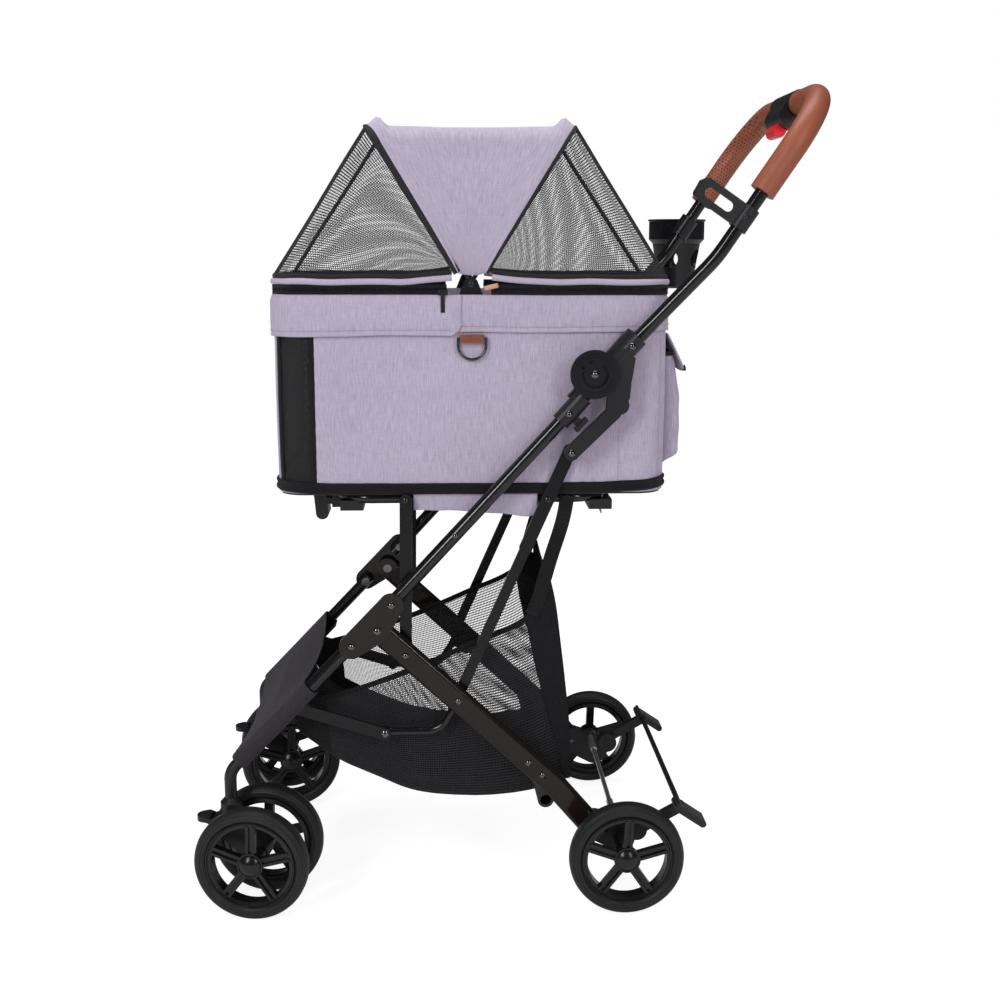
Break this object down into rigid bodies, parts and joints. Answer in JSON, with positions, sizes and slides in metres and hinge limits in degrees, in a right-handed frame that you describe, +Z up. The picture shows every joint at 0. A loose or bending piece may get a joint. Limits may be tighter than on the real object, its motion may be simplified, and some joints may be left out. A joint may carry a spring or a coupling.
{
  "type": "pet stroller",
  "caption": "Folding wheeled frame with a lift-off soft pet carrier, hooped canopy, storage basket, cup holder, foot brake and swivelling front wheels.",
  "frame": {"origin": "on the ground, midway between the left and right sides, 129 mm in front of the rear axle", "axes": "+Z up, +X to the rear where the handle is, +Y to the far side with the cup holder"},
  "size_m": [0.7588, 0.4923, 0.9895],
  "materials": {
    "black_tube": "glossy black powder coat",
    "steel": "bright steel",
    "black_plastic": "satin moulded plastic",
    "red": "bright red gloss",
    "grip": "smooth brown foam leather",
    "lilac": "melange lilac woven cloth",
    "mesh": "black net",
    "dark_cloth": "dark grey woven cloth",
    "purple": "purple cloth",
    "leather": "brown leather",
    "tyre": "grey-black tread"
  },
  "bodies": {
    "main_frame": {"main_tubes": "black_tube", "gusset_plates": "black_tube", "frame_rivets": "steel", "hub_lower_housings": "black_plastic", "storage_basket": "mesh"},
    "handle": {"handle_tube": "black_tube", "handle_grip": "grip", "trigger_housing": "black_plastic", "hub_upper_housings": "black_plastic", "hub_covers": "black_plastic", "handle_rivets": "steel", "latch_loop": "black_plastic", "cup_holder": "black_plastic"},
    "fold_button": {"fold_button": "red"},
    "struts": {"struts": "black_tube"},
    "platform": {"platform_ring": "black_tube", "platform_feet": "black_plastic"},
    "posts": {"posts": "black_tube"},
    "release_knob": {"release_knob": "black_plastic"},
    "carrier": {"carrier_shell": "lilac", "carrier_cuff": "lilac", "carrier_flaps": "purple", "floor_mat": "dark_cloth", "zipper_track": "dark_cloth", "front_window": "mesh", "rear_pocket": "lilac", "bow_brackets": "black_plastic", "ring_tabs": "leather", "canopy_top": "lilac", "canopy_front": "mesh", "canopy_rear": "mesh"},
    "zip_slider": {"zip_slider": "black_plastic"},
    "pocket_flap": {"pocket_flap": "lilac"},
    "front_bow": {"front_bow": "steel"},
    "rear_bow": {"rear_bow": "steel"},
    "left_d_ring": {"left_d_ring": "steel"},
    "right_d_ring": {"right_d_ring": "steel"},
    "rear_frame": {"rear_legs": "black_tube", "lower_arms": "black_tube", "rear_cross_tube": "black_tube", "rear_rivets": "steel", "wheel_brackets": "black_plastic", "brake_link_rod": "steel"},
    "brake": {"brake_pedals": "black_plastic"},
    "left_rear_wheel": {"left_rear_tyre": "tyre", "left_rear_rim": "black_plastic"},
    "right_rear_wheel": {"right_rear_tyre": "tyre", "right_rear_rim": "black_plastic"},
    "front_frame": {"front_legs": "black_tube", "front_panel": "dark_cloth", "caster_brackets": "black_plastic"},
    "lower_links": {"lower_links": "black_tube"},
    "left_caster": {"left_caster_fork": "black_plastic"},
    "right_caster": {"right_caster_fork": "black_plastic"},
    "left_caster_lock": {"left_caster_lock": "black_plastic"},
    "right_caster_lock": {"right_caster_lock": "black_plastic"},
    "left_front_wheels": {"left_front_tyres": "tyre", "left_front_rims": "black_plastic"},
    "right_front_wheels": {"right_front_tyres": "tyre", "right_front_rims": "black_plastic"}
  },
  "joints": [
    {"name": "fold", "type": "hinge", "parent": "main_frame", "child": "handle", "pos_m": [0.085, 0, 0.65521], "axis": [0, 1, 0], "range_deg": [-60, 0], "deforming": ["storage_basket"]},
    {"name": "rear_fold", "type": "hinge", "parent": "main_frame", "child": "rear_frame", "pos_m": [-0.1715, 0, 0.348], "axis": [0, 1, 0], "range_deg": [-30, 0]},
    {"name": "front_fold", "type": "hinge", "parent": "main_frame", "child": "front_frame", "pos_m": [-0.2025, 0, 0.329], "axis": [0, 1, 0], "range_deg": [-36, 0]},
    {"name": "strut_fold", "type": "hinge", "parent": "handle", "child": "struts", "pos_m": [0.0598, 0, 0.56212], "axis": [0, 1, 0], "range_deg": [0, 74]},
    {"name": "platform_fold", "type": "hinge", "parent": "struts", "child": "platform", "pos_m": [0.03376, 0, 0.503], "axis": [0, 1, 0], "range_deg": [-22, 0]},
    {"name": "post_fold", "type": "hinge", "parent": "platform", "child": "posts", "pos_m": [-0.136, 0, 0.503], "axis": [0, 1, 0], "range_deg": [0, 32]},
    {"name": "link_fold", "type": "hinge", "parent": "rear_frame", "child": "lower_links", "pos_m": [-0.165, 0, 0.21], "axis": [0, 1, 0], "range_deg": [0, 6]},
    {"name": "rear_left_wheel_spin", "type": "hinge", "parent": "rear_frame", "child": "left_rear_wheel", "pos_m": [0.129, -0.203, 0.07], "axis": [0, 1, 0], "continuous": true},
    {"name": "rear_right_wheel_spin", "type": "hinge", "parent": "rear_frame", "child": "right_rear_wheel", "pos_m": [0.129, 0.203, 0.07], "axis": [0, 1, 0], "continuous": true},
    {"name": "brake_press", "type": "hinge", "parent": "rear_frame", "child": "brake", "pos_m": [0.148, 0.153, 0.084], "axis": [0, 1, 0], "range_deg": [0, 20]},
    {"name": "left_caster_swivel", "type": "hinge", "parent": "front_frame", "child": "left_caster", "pos_m": [-0.3535, -0.1585, 0.11], "axis": [0, 0, 1], "continuous": true},
    {"name": "right_caster_swivel", "type": "hinge", "parent": "front_frame", "child": "right_caster", "pos_m": [-0.3535, 0.1585, 0.11], "axis": [0, 0, 1], "continuous": true},
    {"name": "left_caster_spin", "type": "hinge", "parent": "left_caster", "child": "left_front_wheels", "pos_m": [-0.31938, -0.1636, 0.07], "axis": [0.1478, 0.989, 0], "continuous": true},
    {"name": "right_caster_spin", "type": "hinge", "parent": "right_caster", "child": "right_front_wheels", "pos_m": [-0.31943, 0.1639, 0.07], "axis": [-0.1564, 0.9877, 0], "continuous": true},
    {"name": "left_caster_lock_turn", "type": "hinge", "parent": "left_caster", "child": "left_caster_lock", "pos_m": [-0.37279, -0.15562, 0.107], "axis": [0.1478, 0.989, 0], "range_deg": [0, 25]},
    {"name": "right_caster_lock_turn", "type": "hinge", "parent": "right_caster", "child": "right_caster_lock", "pos_m": [-0.37276, 0.15545, 0.107], "axis": [-0.1564, 0.9877, 0], "range_deg": [0, 25]},
    {"name": "fold_button_press", "type": "slide", "parent": "handle", "child": "fold_button", "axis": [0.5, 0, 0.866], "range_m": [0, 0.004], "stiffness_N_per_m": 400},
    {"name": "release_knob_turn", "type": "hinge", "parent": "platform", "child": "release_knob", "pos_m": [-0.2235, -0.06, 0.489], "axis": [0, 1, 0], "range_deg": [-20, 0]},
    {"name": "carrier_lift", "type": "slide", "parent": "platform", "child": "carrier", "axis": [0, 0, 1], "range_m": [0, 0.3]},
    {"name": "zip_slide", "type": "slide", "parent": "carrier", "child": "zip_slider", "axis": [1, 0, 0], "range_m": [-0.12, 0.02]},
    {"name": "pocket_flap_lift", "type": "hinge", "parent": "carrier", "child": "pocket_flap", "pos_m": [0.1802, 0, 0.6974], "axis": [0, -1, 0], "range_deg": [0, 90]},
    {"name": "front_bow_fold", "type": "hinge", "parent": "carrier", "child": "front_bow", "pos_m": [-0.0575, 0, 0.7578], "axis": [0, 1, 0], "range_deg": [0, 45], "deforming": ["canopy_top", "canopy_front", "canopy_rear"]},
    {"name": "rear_bow_fold", "type": "hinge", "parent": "carrier", "child": "rear_bow", "pos_m": [-0.0575, 0, 0.7578], "axis": [0, 1, 0], "range_deg": [-30, 0]},
    {"name": "left_d_ring_swing", "type": "hinge", "parent": "carrier", "child": "left_d_ring", "pos_m": [-0.0565, -0.1427, 0.6948], "axis": [1, 0, 0], "range_deg": [-60, 0]},
    {"name": "right_d_ring_swing", "type": "hinge", "parent": "carrier", "child": "right_d_ring", "pos_m": [-0.0565, 0.1427, 0.6948], "axis": [1, 0, 0], "range_deg": [0, 60]}
  ],
  "couplings": [
    {"joint": "rear_fold", "follows": "fold", "ratio": 0.4962},
    {"joint": "front_fold", "follows": "fold", "ratio": 0.5958},
    {"joint": "strut_fold", "follows": "fold", "ratio": -1.2032},
    {"joint": "platform_fold", "follows": "fold", "ratio": 0.3519},
    {"joint": "post_fold", "follows": "fold", "ratio": -0.5227},
    {"joint": "link_fold", "follows": "fold", "ratio": -0.0867}
  ]
}
